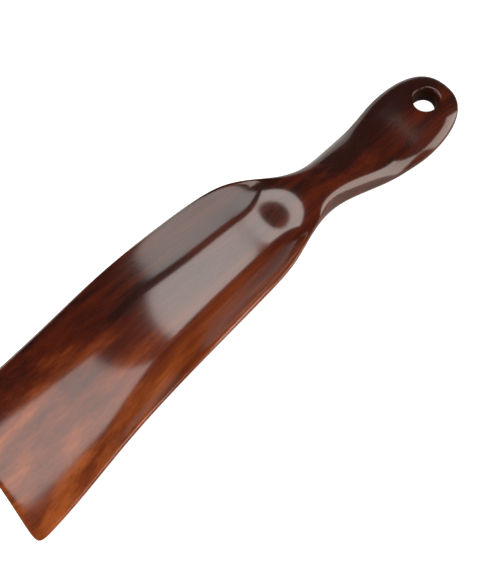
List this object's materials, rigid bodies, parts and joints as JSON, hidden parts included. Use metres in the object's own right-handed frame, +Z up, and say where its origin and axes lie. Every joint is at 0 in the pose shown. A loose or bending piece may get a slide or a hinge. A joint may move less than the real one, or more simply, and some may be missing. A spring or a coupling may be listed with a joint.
{
  "type": "shoehorn",
  "caption": "One-piece shoehorn: a scooped blade that narrows to a waist and a paddle handle with a hanging hole.",
  "frame": {"origin": "bottom centre of the box, on the surface that the shoehorn lies on with its scoop up", "axes": "+X from the blade's tip to the handle, +Y across the blade, +Z up out of the scoop"},
  "size_m": [0.1754, 0.0422, 0.0251],
  "materials": {
    "lacquered_wood": "dark reddish-brown wood with orange-brown streaks under a very glossy clear lacquer"
  },
  "bodies": {
    "root": {"shoehorn": "lacquered_wood"}
  },
  "joints": []
}
